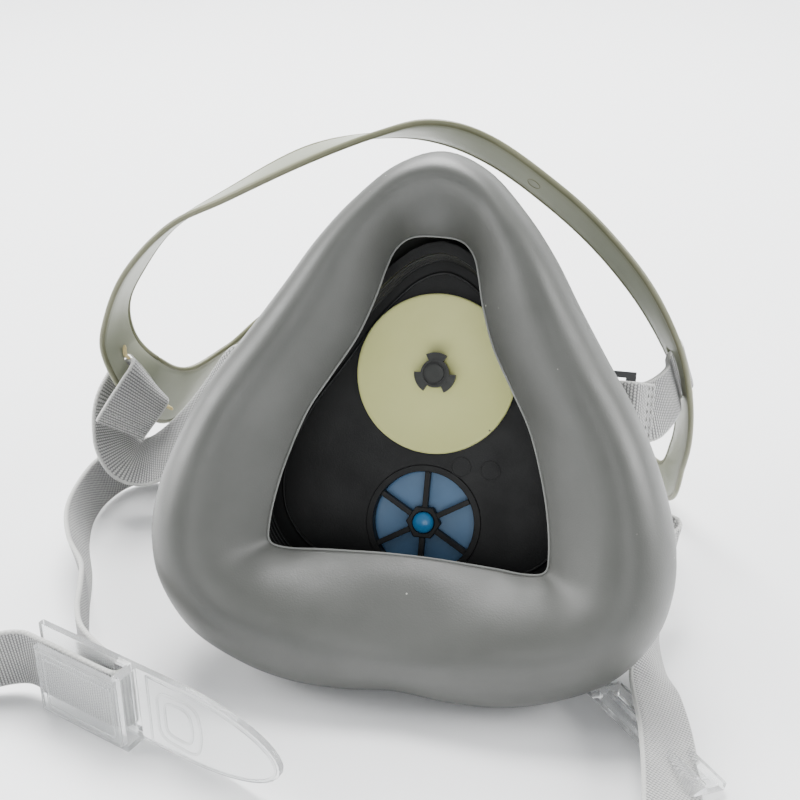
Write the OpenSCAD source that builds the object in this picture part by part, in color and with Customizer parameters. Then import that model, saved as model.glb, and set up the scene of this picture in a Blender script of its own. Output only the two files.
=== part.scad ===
// Half-mask respirator for paint work: an elastomer face seal on a rigid front
// housing with an inhalation and an exhalation valve, a screw-free cartridge with
// a pre-filter cap, and a harness of a slotted head cradle, webbing and buckles.
//
// The mask stands on its chin and on the rim of the cap, leaning back, and the
// wearer's side faces -Y. Parts of the mask itself are drawn in the mask frame:
// x across, y up along the seal plane, z forward, away from the wearer.

/* [Stance] */
// Angle that the seal plane leans back from the vertical
lean = 28; // [26:1:30]
// Height of the seal plane's centre above the table
seat_h = 62.8; // [62:0.1:64]
// Place of the mask's own middle plane in the object's frame
mask_x = 16.4; // [10:0.1:20]
// Place of the seal plane's centre along the object's Y axis
mask_y = -51.1; // [-60:0.1:-40]

/* [Face seal] */
// Wall thickness of the elastomer
seal_t = 2; // [1.6:0.1:2.4]
// Thickness of the lip round the opening
lip_t = 1.0; // [0.8:0.1:1.4]
// How far the lip lies forward of the crest that meets the face
lip_depth = 11; // [9:0.5:12]
// How far the widest line of the seal lies forward of its crest
flank_depth = 14; // [12:0.5:15]
// How far the crest is set back at the nose
nose_set = 4; // [2:0.5:6]
// How far the crest is set back at the chin
chin_set = 3; // [1:0.5:5]

/* [Front housing] */
// Size of the housing's outline against the seal's outline
house_scale = 0.7; // [0.68:0.01:0.72]
// Depth of the inner face of the housing's floor
floor_z = 38; // [37:0.5:39]
// Thickness of the floor
floor_t = 3; // [2.5:0.1:3.5]
// Depth at which the housing's wall starts
wall_z = 26; // [24:1:28]

/* [Inhalation valve] */
// Height of the valve's centre on the seal plane
inhale_y = 13.6; // [13:0.1:14]
// Diameter of the flat valve disc
inhale_d = 39.2; // [38:0.1:40]
// Diameter of the port behind it
port_d = 32; // [30:0.5:33]
// Lift of the disc off its seat
inhale_lift = 1.2; // [0.8:0.1:1.3]
// Size across the three lugs that hold the disc
lug_d = 10.2; // [9.5:0.1:11]

/* [Exhalation valve] */
// Height of the valve's centre on the seal plane
exhale_y = -23; // [-23.5:0.1:-22.5]
// Diameter of the opening behind the spokes
exhale_d = 25; // [24:0.5:25.5]
// Width of one spoke
spoke_w = 1.3; // [1:0.1:1.6]
// Diameter of the valve's domed button
button_d = 5.2; // [5:0.1:5.3]

/* [Cartridge] */
// Diameter of the cartridge's shell
cart_d = 72; // [70:1:73]
// Depth of the cartridge's rear face
cart_z = 51.8; // [51.8:0.1:52.2]
// Length of the cartridge's shell
cart_len = 26; // [24:0.5:26]
// Diameter of the pre-filter cap
cap_d = 75.4; // [74.8:0.2:75.4]
// Depth of the front of the cap
cap_front = 88.3; // [87.8:0.1:88.4]

/* [Harness] */
// Width of the webbing
strap_w = 15; // [14:0.5:15]
// Thickness of the webbing
strap_t = 1.3; // [1.2:0.1:1.4]
// Thickness of the head cradle
cradle_t = 1.5; // [1.3:0.1:1.7]
// Wall thickness of the buckles
buckle_t = 1.6; // [1.4:0.1:1.8]
// Height of the buckles
buckle_h = 20; // [19:0.5:21]

/* [Hidden] */
$fn = 96;
gap = 0.25;            // clearance between neighbouring solids
eps = 0.01;            // overshoot of a cut past the face it opens

// ---- small vector helpers ----
function unit(v) = v / norm(v);
function mix(a, b, t) = a + (b - a) * t;
function catmull(a, b, c, d, t) =
    0.5 * ((2 * b) + (c - a) * t + (2 * a - 5 * b + 4 * c - d) * t * t
           + (3 * b - a - 3 * c + d) * t * t * t);
// Smooth closed curve through the points of p, with n steps from each to the next
function smooth_loop(p, n) = [
    for (i = [0 : len(p) - 1], k = [0 : n - 1])
        catmull(p[(i + len(p) - 1) % len(p)], p[i], p[(i + 1) % len(p)],
                p[(i + 2) % len(p)], k / n)
];
// Smooth open curve through the points of p, with n steps from each to the next
function smooth_line(p, n) = concat([
    for (i = [0 : len(p) - 2], k = [0 : n - 1])
        catmull(p[max(i - 1, 0)], p[i], p[i + 1], p[min(i + 2, len(p) - 1)], k / n)
], [p[len(p) - 1]]);

// Two triangles for the cell between points a, b of one ring and c, d of the next
function cell(a, b, c, d) = [[a, b, d], [a, d, c]];
// Faces of a tube of m rings with k points each, closed on itself or capped
function ring_faces(m, k, closed) = [
    for (i = [0 : closed ? m - 1 : m - 2], j = [0 : k - 1])
        let (p = i * k, q = ((i + 1) % m) * k, j2 = (j + 1) % k)
            each cell(p + j, p + j2, q + j, q + j2)
];
module torus_skin(rings) {
    k = len(rings[0]);
    polyhedron(points = [for (r = rings) each r],
               faces = ring_faces(len(rings), k, true), convexity = 10);
}
module tube_skin(rings) {
    k = len(rings[0]);
    m = len(rings);
    first_cap = [for (j = [k - 1 : -1 : 0]) j];
    last_cap = [for (j = [0 : k - 1]) (m - 1) * k + j];
    polyhedron(points = [for (r = rings) each r],
               faces = concat(ring_faces(m, k, false), [first_cap, last_cap]),
               convexity = 10);
}

// ---- placing ----
module object_frame() {
    translate([mask_x, mask_y, 0]) children();
}
module mask_frame() {
    object_frame() translate([0, 0, seat_h]) rotate([90 + lean, 0, 180]) children();
}

// ---- the face seal's outline ----
// Right half, from the nose down to the chin:
// [outer x, outer y, opening x, opening y], round the widest line and the opening
SEAL_HALF = [
    [0, 63.7, 0, 44.2], [10.5, 59.8, 5.6, 43.5], [19.8, 50.8, 8.9, 40.4],
    [27.3, 41, 10.6, 35.5], [33.8, 30.3, 12.2, 29], [41, 19, 15.4, 20],
    [47.4, 9.3, 20.4, 11], [52.4, 0, 25.1, 2.5], [56.6, -10.5, 28.6, -7.5],
    [59, -20, 30.8, -16.5], [59.3, -30, 31.8, -24.5], [56.4, -40.4, 31.2, -28.4],
    [48.4, -50.6, 27, -29.4], [36.4, -57, 20, -29], [24.3, -60.1, 13, -28.7],
    [12.2, -60.5, 6.5, -28.4], [0, -59.5, 0, -28.3]
];
SEAL_LAST = len(SEAL_HALF) - 1;
function mirrored(s) = [-s[0], s[1], -s[2], s[3]];
SEAL_STATIONS = concat(SEAL_HALF, [
    for (i = [SEAL_LAST - 1 : -1 : 1]) mirrored(SEAL_HALF[i])
]);
SEAL = smooth_loop(SEAL_STATIONS, 2);
SEAL_N = len(SEAL);
SEAL_REAR = 36;        // depth at which the seal's wall ends on the housing
REAR_GROW = 1.08;      // seal wall's size there, against the housing's outline
NOSE_Y = 62;           // reach of the nose above the seal plane's centre
CHIN_Y = 20;           // height below the centre at which the chin begins
CHIN_REACH = 40;

function crest_z(y) = nose_set * pow(max(y, 0) / NOSE_Y, 2)
                    + chin_set * pow(max(-y - CHIN_Y, 0) / CHIN_REACH, 2);
// Flap: [part of the way from the opening to the widest line, part of lip_depth]
FLAP = [[0, 1], [0.14, 0.64], [0.3, 0.31], [0.45, 0.09], [0.6, 0]];
// Flank: the same, with the part of flank_depth
FLANK = [[0.74, 0.06], [0.87, 0.26], [0.965, 0.61], [1, 1]];
// Back: [part of the way in to the housing, part of the depth left]
BACK = [[0.08, 0.26], [0.3, 0.55], [0.66, 0.8], [0.94, 0.94], [1, 1]];

function seal_profile(s) =
    let (outer = [s[0], s[1]], inner = [s[2], s[3]],
         rear = outer * house_scale * REAR_GROW, c = crest_z(s[1]),
         widest = c + flank_depth)
    concat(
        [for (f = FLAP) let (p = mix(inner, outer, f[0])) [p[0], p[1], c + f[1] * lip_depth]],
        [for (f = FLANK) let (p = mix(inner, outer, f[0])) [p[0], p[1], c + f[1] * flank_depth]],
        [for (f = BACK) let (p = mix(outer, rear, f[0]))
            [p[0], p[1], mix(widest, SEAL_REAR, f[1])]]
    );
SEAL_SKIN = [for (s = SEAL) seal_profile(s)];
SEAL_K = len(SEAL_SKIN[0]);
function wall_at(k) = k < 3 ? mix(lip_t, seal_t, k / 3) : seal_t;
function skin_normal(i, k) =
    let (along = SEAL_SKIN[(i + 1) % SEAL_N][k] - SEAL_SKIN[(i + SEAL_N - 1) % SEAL_N][k],
         across = SEAL_SKIN[i][min(k + 1, SEAL_K - 1)] - SEAL_SKIN[i][max(k - 1, 0)])
    unit(cross(across, along));

module face_seal() color([0.50, 0.51, 0.50]) mask_frame() torus_skin([
    for (i = [0 : SEAL_N - 1]) concat(
        [for (k = [0 : SEAL_K - 1]) SEAL_SKIN[i][k] - wall_at(k) * skin_normal(i, k)],
        [for (k = [SEAL_K - 1 : -1 : 0]) SEAL_SKIN[i][k]]
    )
]);

// ---- front housing ----
function house_outline(grow) = [for (s = SEAL) [s[0], s[1]] * house_scale * grow];
HOUSE_WALL = 0.94;     // inner outline of the wall against its outer outline
FLANGE_Z = 36.3;
FLANGE_T = 1.7;
COLLAR_R = port_d / 2 + 3;
COLLAR_FRONT = 50;
EXHAUST_R = 14.2;      // bore that the exhalation seat is pressed into
EXHAUST_WALL = 1.8;
EXHAUST_FRONT = 45.5;
SEAT_RIDGE = 0.6;
HUB_R = 4;
POST_R = 2.1;
DIAL_R = 2.5;
DIALS = [[-8, -8.6], [-15.2, -8.8]];   // two moulding dials beside the valve

module inhale_at() translate([0, inhale_y, 0]) children();
module exhale_at() translate([0, exhale_y, 0]) children();
module disc(r, z0, z1) translate([0, 0, z0]) cylinder(r = r, h = z1 - z0);
module ring(r_out, r_in, z0, z1) difference() {
    disc(r_out, z0, z1);
    disc(r_in, z0 - 1, z1 + 1);
}
// Flat bars from the centre out to radius r
module spokes(count, turn, w, r, z0, z1) for (i = [0 : count - 1])
    rotate([0, 0, turn + i * 360 / count]) translate([0, -w / 2, z0]) cube([r, w, z1 - z0]);

module front_housing() color([0.13, 0.14, 0.15]) mask_frame() {
    floor_front = floor_z + floor_t;
    difference() {
        union() {
            translate([0, 0, wall_z]) linear_extrude(floor_front - wall_z)
                polygon(house_outline(1));
            translate([0, 0, FLANGE_Z]) linear_extrude(FLANGE_T)
                polygon(house_outline(1.1));
            inhale_at() disc(COLLAR_R, floor_z, COLLAR_FRONT);
            exhale_at() disc(EXHAUST_R + EXHAUST_WALL, floor_z, EXHAUST_FRONT);
        }
        translate([0, 0, wall_z - 1]) linear_extrude(floor_z - wall_z + 1)
            polygon(house_outline(HOUSE_WALL));
        inhale_at() disc(port_d / 2, floor_z - 1, COLLAR_FRONT + 1);
        exhale_at() disc(EXHAUST_R, floor_z - 1, EXHAUST_FRONT + 1);
    }
    inhale_at() {
        ring(port_d / 2 + 1.5, port_d / 2, floor_z - SEAT_RIDGE, floor_z + eps);
        difference() {
            union() {
                disc(HUB_R, floor_z, floor_z + 2.5);
                spokes(3, 30, 2.4, port_d / 2 + 0.5, floor_z + 0.2, floor_z + 2.2);
            }
            disc(POST_R, floor_z - 1, floor_z + 4);
        }
    }
    for (d = DIALS) translate([d[0], d[1], 0])
        ring(DIAL_R, DIAL_R - 0.3, floor_z - 0.25, floor_z + eps);
}

// ---- inhalation valve ----
DISC_T = 1;
DISC_BACK = floor_z - SEAT_RIDGE;      // face of the disc that lies on its seat
DISC_BORE_R = 3.2;
LUG_BACK = DISC_BACK - DISC_T - inhale_lift - 0.2;
LUG_T = 1.4;

module inhale_disc() color([0.80, 0.80, 0.64]) mask_frame() inhale_at()
    ring(inhale_d / 2, DISC_BORE_R, DISC_BACK - DISC_T, DISC_BACK - 0.05);

module inhale_post() color([0.20, 0.21, 0.20]) mask_frame() inhale_at() {
    disc(POST_R - 0.05, LUG_BACK - 0.5, floor_z + 3.2);
    ring(3.05, POST_R - 0.5, LUG_BACK - 0.5, floor_z - 0.05);
    ring(3.45, 2.9, LUG_BACK - LUG_T, LUG_BACK);
    disc(2.2, LUG_BACK - LUG_T - 0.3, LUG_BACK);
    disc(3, LUG_BACK - 0.6, LUG_BACK);
    for (a = [90, 210, 330]) rotate([0, 0, a]) intersection() {
        ring(lug_d / 2, 3.3, LUG_BACK - LUG_T + 0.2, LUG_BACK);
        linear_extrude(LUG_BACK + 1) polygon([[0, 0], [7, -4.1], [7, 4.1]]);
    }
}

// ---- exhalation valve ----
SEAT_BACK = floor_z - 0.4;
SEAT_FRONT = 42;
HEX_R = 4.3;
VALVE_T = 0.9;
VALVE_R = 13.2;
STEM_R = button_d / 2;

module exhale_seat() color([0.15, 0.16, 0.17]) mask_frame() exhale_at() {
    ring(EXHAUST_R - 0.05, exhale_d / 2, SEAT_BACK, SEAT_FRONT);
    difference() {
        union() {
            translate([0, 0, SEAT_BACK + 0.2]) cylinder(r = HEX_R, h = 3, $fn = 6);
            spokes(6, 30, spoke_w, exhale_d / 2 + 0.4, SEAT_BACK + 0.4, SEAT_BACK + 3);
        }
        disc(STEM_R + 0.1, SEAT_BACK - 1, SEAT_BACK + 5);
    }
}

module exhale_valve() color([0.25, 0.50, 0.72]) mask_frame() exhale_at() {
    disc(VALVE_R, SEAT_FRONT + 0.05, SEAT_FRONT + VALVE_T);
    disc(STEM_R, SEAT_BACK + 0.2, SEAT_FRONT + 0.5);
    intersection() {
        translate([0, 0, SEAT_BACK + 2.2]) sphere(r = 3.4);
        disc(STEM_R, SEAT_BACK - 1.5, SEAT_BACK + 0.3);
    }
}

COVER_R = EXHAUST_R + EXHAUST_WALL + 0.1;
COVER_WALL = 1.1;
COVER_BACK = 41.2;
COVER_FRONT = 49.4;
module exhale_cover() color([0.30, 0.31, 0.32]) mask_frame() exhale_at() difference() {
    disc(COVER_R + COVER_WALL, COVER_BACK, COVER_FRONT);
    disc(COVER_R, COVER_BACK - 1, COVER_FRONT - 1.4);
    for (x = [-9, -4.5, 0, 4.5, 9])
        translate([x - 1.2, -COVER_R - 4, COVER_FRONT - 3.4]) cube([2.4, 11, 5]);
}

// ---- cartridge and pre-filter ----
NECK_R = port_d / 2 - 0.3;
SHELL_T = 1.4;
SHELL_IN_R = cart_d / 2 - SHELL_T;
SHELL_FRONT = cart_z + cart_len;
BED_BACK = cart_z + 3.4;
BED_FRONT = SHELL_FRONT - 4.4;
FLEECE_T = 1.2;

module seat_gasket() color([0.10, 0.10, 0.10]) mask_frame() inhale_at()
    ring(COLLAR_R, port_d / 2 + 0.2, COLLAR_FRONT + 0.02, cart_z - 0.02);

// Round holes on two circles and one in the middle
module grille_holes(z0, z1) {
    disc(2.4, z0, z1);
    for (i = [0 : 5]) rotate([0, 0, i * 60]) translate([9, 0, 0]) disc(2.6, z0, z1, $fn = 32);
}
module cartridge_shell() color([0.40, 0.41, 0.42]) mask_frame() inhale_at() {
    difference() {
        union() {
            disc(cart_d / 2, cart_z, SHELL_FRONT);
            disc(NECK_R, floor_z + 4.4, cart_z + eps);
        }
        disc(SHELL_IN_R, cart_z + 2, SHELL_FRONT + 1);
        disc(NECK_R - 1.4, floor_z + 3, cart_z - 0.5);
        grille_holes(cart_z - 2, cart_z + 4);
    }
}
module inner_fleece() color([0.93, 0.93, 0.90]) mask_frame() inhale_at()
    disc(SHELL_IN_R - gap, BED_BACK - FLEECE_T - 0.1, BED_BACK - 0.1);
module carbon_bed() color([0.07, 0.07, 0.07]) mask_frame() inhale_at()
    disc(SHELL_IN_R - gap, BED_BACK, BED_FRONT);
module outer_fleece() color([0.93, 0.93, 0.90]) mask_frame() inhale_at()
    disc(SHELL_IN_R - gap, BED_FRONT + 0.1, BED_FRONT + 0.1 + FLEECE_T);
LID_BACK = BED_FRONT + FLEECE_T + 0.3;
module cartridge_lid() color([0.37, 0.38, 0.39]) mask_frame() inhale_at() difference() {
    disc(SHELL_IN_R - 0.08, LID_BACK, SHELL_FRONT);
    disc(SHELL_IN_R - 3, LID_BACK + 1.4, SHELL_FRONT + 1);
    disc(2.4, LID_BACK - 1, SHELL_FRONT);
    for (c = [[8, 6], [16, 12], [24, 18]], i = [0 : c[1] - 1])
        rotate([0, 0, i * 360 / c[1]]) translate([c[0], 0, 0])
            disc(2, LID_BACK - 1, SHELL_FRONT, $fn = 32);
}

PAD_BACK = SHELL_FRONT + 0.2;
CAP_T = 1.6;
CAP_SKIRT_IN = cart_d / 2 + 0.25;
PAD_FRONT = cap_front - CAP_T - 0.3;
module prefilter_pad() color([0.95, 0.95, 0.93]) mask_frame() inhale_at()
    disc(cart_d / 2 - 1, PAD_BACK, PAD_FRONT);
CAP_RIB = 1.8;         // narrowest width left between two slots of the cap's grille
// Circles of slots: [radius of the circle, number of slots, their length]
CAP_CIRCLES = [[12, 6, 7], [22, 12, 8], [31, 18, 7.4]];
module prefilter_cap() color([0.16, 0.17, 0.18]) mask_frame() inhale_at() difference() {
    disc(cap_d / 2, cap_front - 14, cap_front);
    disc(CAP_SKIRT_IN, cap_front - 15, cap_front - CAP_T);
    disc(5, cap_front - 4, cap_front + 1);
    for (c = CAP_CIRCLES)
        for (i = [0 : c[1] - 1]) rotate([0, 0, i * 360 / c[1]])
            cap_slot(c[0] - c[2] / 2, c[2], (c[0] - c[2] / 2) * sin(180 / c[1]) * 2 - CAP_RIB);
}
module cap_slot(from, len, w) translate([from, -w / 2, cap_front - 4])
    cube([len, w, 6]);

// ---- harness frame ----
FRAME_BACK = floor_z + floor_t + 0.1;
FRAME_T = 2.5;
LUG_HALF_H = 9.8;
SLOT_HALF_H = strap_w / 2 + 0.8;
// [x, y] of each slotted lug on the right side of the mask frame
LUGS = [[44, 8.5], [44, -22]];
module lug(at) translate([at[0], at[1], FRAME_BACK]) difference() {
    translate([-5.4, -LUG_HALF_H, 0]) cube([9.4, 2 * LUG_HALF_H, FRAME_T]);
    translate([-1.6, -SLOT_HALF_H, -1]) cube([3.2, 2 * SLOT_HALF_H, FRAME_T + 2]);
}
module lug_arm(from, to, w) translate([from[0], from[1], FRAME_BACK])
    rotate([0, 0, atan2(to[1] - from[1], to[0] - from[0])])
        translate([0, -w / 2, 0]) cube([norm(to - from), w, FRAME_T]);
module harness_frame() color([0.20, 0.21, 0.22]) mask_frame() {
    difference() {
        difference() {
        inhale_at() ring(COLLAR_R + 7, COLLAR_R + 0.15, FRAME_BACK, FRAME_BACK + FRAME_T);
        exhale_at() disc(COVER_R + COVER_WALL + 0.3, 0, 60);
    }
        exhale_at() disc(COVER_R + COVER_WALL + 0.3, 0, 60);
    }
    for (side = [0, 1]) mirror([side, 0, 0]) {
        for (at = LUGS) lug(at);
        difference() {
            union() {
                lug_arm([17, 14], [40, 8.5], 11);
                lug_arm([19, 3], [40, -20], 9);
            }
            inhale_at() disc(COLLAR_R + 0.15, 0, 60);
        }
    }
}

// ---- head cradle ----
// A thin domed ring, tipped forward over the front of the mask. Each station is
// [point on the outer rim, point on the inner rim], round from the left tip.
CRADLE = [
    [[-87.5, 55, 33], [-82.6, 65, 41.2]],
    [[-93.5, 55, 46], [-88.5, 65, 47.5]],
    [[-91.7, 55, 57], [-89.8, 65.5, 57]],
    [[-84.8, 55, 70.8], [-85.6, 67, 66.5]],
    [[-71.8, 55, 84.4], [-75.4, 67, 79.8]],
    [[-56.6, 55, 92.6], [-60, 67, 90.4]],
    [[-36.4, 55, 103.2], [-38.6, 67, 103]],
    [[-18.4, 55, 111.2], [-20, 67, 107.6]],
    [[-4.9, 55, 115], [-5.2, 66, 107.6]],
    [[9, 56, 111.6], [9, 65, 102.8]],
    [[25.9, 56, 100.8], [23.8, 65, 93]],
    [[38.1, 56, 90.4], [36, 65, 82.6]],
    [[49.6, 56, 77.2], [47, 65, 70.2]],
    [[58.2, 57, 61.5], [55.4, 67, 56.6]],
    [[62.4, 60, 47], [59.6, 72, 45.5]],
    [[64, 62, 34], [61.4, 75, 33.6]],
    [[63.6, 66, 22], [61.2, 78.5, 22.4]],
    [[62, 76, 6], [59, 86.5, 11]],
    [[53, 97, 1.5], [49.6, 95, 14]],
    [[35, 113, 0.8], [32.4, 107.5, 12]],
    [[10, 122, 1], [9, 115.6, 12]],
    [[-16, 121, 6], [-14.5, 114.6, 17]],
    [[-38, 114.5, 22], [-35.4, 107.5, 33]],
    [[-58, 102, 34], [-54.2, 96.4, 45.6]],
    [[-73, 86, 27], [-68, 84, 37.4]],
    [[-82, 68, 20], [-77, 73, 34.4]]
];
CRADLE_SLOT = [-84, 60, 37.2];
CRADLE_SLOT_ALONG = [0.56, 0.1, -0.82];
CRADLE_SLOT_IN = [0.66, -0.62, 0.41];
RIGHT_SLOT = [59.8, 65.2, 51.4];
RIGHT_SLOT_ALONG = [0.3, 0.3, -0.91];
RIGHT_SLOT_IN = [-0.83, -0.28, -0.37];
CRADLE_STEPS = 3;
CRADLE_RIMS = smooth_loop([for (s = CRADLE) concat(s[0], s[1])], CRADLE_STEPS);
function rim_outer(i) = let (s = CRADLE_RIMS[i % len(CRADLE_RIMS)]) [s[0], s[1], s[2]];
function rim_inner(i) = let (s = CRADLE_RIMS[i % len(CRADLE_RIMS)]) [s[3], s[4], s[5]];
function cradle_normal(i) =
    let (n = len(CRADLE_RIMS), a = i + n - 1, b = i + 1)
    unit(cross(rim_outer(b) + rim_inner(b) - rim_outer(a) - rim_inner(a),
               rim_inner(i) - rim_outer(i)));
// The four corners of the cradle's section at one station
function cradle_section(i) =
    let (n = cradle_normal(i) * cradle_t / 2)
    [rim_outer(i) - n, rim_outer(i) + n, rim_inner(i) + n, rim_inner(i) - n];

// Turns local x to direction a, and local z to direction c
module facing(at, a, c) {
    z = unit(c);
    y = unit(cross(z, a));
    x = cross(y, z);
    multmatrix([[x[0], y[0], z[0], at[0]], [x[1], y[1], z[1], at[1]],
                [x[2], y[2], z[2], at[2]], [0, 0, 0, 1]]) children();
}
module slot_cut(w) cube([strap_w + 2.2, w, 12], center = true);
module head_cradle() color([0.53, 0.53, 0.43]) object_frame() difference() {
    torus_skin([for (i = [0 : len(CRADLE_RIMS) - 1]) cradle_section(i)]);
    facing(CRADLE_SLOT, CRADLE_SLOT_ALONG, CRADLE_SLOT_IN) slot_cut(2.8);
    facing(RIGHT_SLOT, RIGHT_SLOT_ALONG, RIGHT_SLOT_IN) slot_cut(3.6);
}

// ---- webbing ----
// A strap is a list of [point on its centre line, direction of its width]
function strap_curve(route, n) = smooth_line([for (r = route) concat(r[0], r[1])], n);
function strap_rings(route, n) =
    let (c = strap_curve(route, n), last = len(c) - 1)
    [for (i = [0 : last])
        let (p = [c[i][0], c[i][1], c[i][2]],
             a = c[max(i - 1, 0)], b = c[min(i + 1, last)],
             along = unit([b[0] - a[0], b[1] - a[1], b[2] - a[2]]),
             w0 = [c[i][3], c[i][4], c[i][5]],
             w = unit(w0 - along * (w0 * along)) * strap_w / 2,
             t = unit(cross(along, w)) * strap_t / 2, e = w * 0.94, h = t * 0.88)
            [p - w, p - e + h, p + t, p + e + h, p + w, p + e - h, p - t, p - e - h]
    ];
module strap(route, n) color([0.58, 0.58, 0.57]) object_frame()
    tube_skin(strap_rings(route, n));

UP = [0, 0.4695, 0.8829];   // width of the webbing at a lug, along the seal plane
FORE = [0, 0.8829, -0.4695]; // forward, away from the wearer
BAR_X = 47.1;                // middle of a lug's outer bar: across, then
HEAD_BAR = [41.39, 50.42];   // along Y and Z, for the two upper lugs
NECK_BAR = [27.06, 23.5];    // and for the two lower ones
// The webbing's way round that bar: [outward, forward], from its sewn end
BAR_LOOP = [[6.8, -1.2], [4.6, -1.5], [1.7, -2.5], [-1.5, -2.55], [-3, 0],
            [-1.5, 2.55], [1.7, 2.5], [4.8, 1.5]];
// side is 1 on the right and -1 on the left; turn swings the loop forward
function lug_loop(bar, side, turn) = [for (p = BAR_LOOP)
    let (u = p[0] * cos(turn) - p[1] * sin(turn), v = p[0] * sin(turn) + p[1] * cos(turn))
    [[side * (BAR_X + u), bar[0], bar[1]] + v * FORE, UP]
];
HEAD_LEFT = concat(lug_loop(HEAD_BAR, -1, 33), [
    [[-54.4, 48, 47.6], [-0.12, 0.6, 0.8]], [[-61.6, 48.6, 37.6], [-0.3, 0.75, 0.6]],
    [[-68.6, 49.6, 28.4], [-0.32, 0.77, 0.55]], [[-75.4, 50.8, 20.8], [-0.25, 0.75, 0.6]],
    [[-82.2, 51.6, 15.8], [-0.05, 0.8, 0.6]], [[-88.6, 52.2, 15.4], [0.15, 0.93, 0.3]],
    [[-93.4, 54.6, 20.4], [0.25, 0.96, 0]], [[-94.2, 58.6, 28], [0.4, 0.83, -0.35]],
    [[-90.8, 63, 33.4], [0.52, 0.4, -0.75]], [[-84, 60, 37.2], [0.56, 0.1, -0.82]],
    [[-82.2, 56.4, 37.2], [0.56, 0.1, -0.82]], [[-83.6, 53.2, 34.4], [0.55, 0.2, -0.8]],
    [[-86.2, 51, 30.4], [0.53, 0.3, -0.79]], [[-89, 49.4, 26], [0.5, 0.4, -0.77]]
]);
HEAD_RIGHT = concat(lug_loop(HEAD_BAR, 1, 48), [
    [[52.8, 48.3, 47.9], [-0.15, 0.38, 0.91]], [[56, 53.4, 48.3], [-0.24, 0.1, 0.94]],
    [[58, 58.6, 49], [-0.3, -0.16, 0.93]], [[57.95, 62.4, 49.85], [-0.3, -0.28, 0.91]],
    [[58.4, 64.4, 50.7], [-0.3, -0.3, 0.91]], [[59.8, 65.2, 51.4], [-0.3, -0.3, 0.91]],
    [[61, 65.9, 52], [-0.3, -0.3, 0.91]], [[60.9, 67.5, 52.5], [-0.3, -0.3, 0.91]],
    [[59.9, 69.7, 52.9], [-0.3, -0.3, 0.91]], [[59, 71.5, 53.2], [-0.3, -0.3, 0.91]]
]);
NECK_LEFT = concat(lug_loop(NECK_BAR, -1, 38), [
    [[-59, 36.4, 19.6], [0, 0.3, 0.95]], [[-66, 47, 14], [0, 0.2, 0.98]],
    [[-75, 58.5, 9.6], [0, 0.1, 0.99]], [[-84.5, 65, 8.2], [0, 0, 1]],
    [[-92.6, 61, 8], [0, 0, 1]], [[-96.6, 51.5, 8], [-0.05, 0, 1]],
    [[-96.8, 40, 8], [-0.1, -0.1, 1]], [[-94, 27.5, 7.8], [-0.2, -0.2, 0.95]],
    [[-88, 15, 7.8], [-0.2, -0.2, 0.95]], [[-81.8, 3.5, 8], [0, 0, 1]],
    [[-77.6, -6.5, 9], [0, 0, 1]], [[-74.4, -15.4, 9.8], [0, 0, 1]],
    [[-70.4, -22.2, 10.1], [0, 0, 1]], [[-63.6, -28, 10.1], [0, 0, 1]],
    [[-58.2, -31, 10.1], [0, 0, 1]], [[-55.9, -32.5, 10.1], [0, 0, 1]],
    [[-55.5, -34.3, 10.1], [0, 0, 1]], [[-57.3, -35.7, 10.1], [0, 0, 1]],
    [[-61.5, -34.5, 10.1], [0, 0, 1]], [[-69.8, -31.2, 10.1], [0, 0, 1]],
    [[-77.3, -28.3, 10.1], [0, 0, 1]], [[-83, -26.6, 10], [0, 0, 1]],
    [[-89.6, -28.2, 9.2], [0, 0, 1]], [[-97, -33, 8.4], [0, 0, 1]],
    [[-104, -38.8, 8], [0, 0, 1]]
]);
NECK_RIGHT = concat(lug_loop(NECK_BAR, 1, 31), [
    [[55.9, 33.6, 19.5], [0, 0.47, 0.88]], [[59, 34.4, 18.1], [0, 0.47, 0.88]],
    [[61, 31.4, 17.9], [0, 0.45, 0.9]], [[59.6, 24.8, 17.5], [0, 0.36, 0.93]],
    [[57.4, 17, 15.3], [-0.05, 0.28, 0.96]], [[56.3, 9.8, 11.7], [-0.2, 0.2, 0.96]],
    [[56.4, 2.2, 8.4], [-0.5, 0.1, 0.86]], [[57.7, -5, 6.4], [-0.8, -0.03, 0.58]],
    [[59.2, -12, 5.4], [-0.86, -0.05, 0.5]], [[60.4, -19, 4.8], [-0.86, -0.05, 0.5]],
    [[61, -26, 4.6], [-0.86, -0.05, 0.5]], [[61.4, -34, 4.6], [-0.87, 0, 0.5]],
    [[61.8, -43, 4.5], [-0.89, 0, 0.45]], [[62.5, -52, 4.4], [-0.9, 0, 0.42]],
    [[63.6, -61, 4.4], [-0.9, 0, 0.42]]
]);
STRAP_STEPS = 3;
NECK_STEPS = 2;
module head_strap_left() strap(HEAD_LEFT, STRAP_STEPS);
module head_strap_right() strap(HEAD_RIGHT, STRAP_STEPS);
module neck_strap_left() strap(NECK_LEFT, NECK_STEPS);
module neck_strap_right() strap(NECK_RIGHT, NECK_STEPS);

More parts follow.
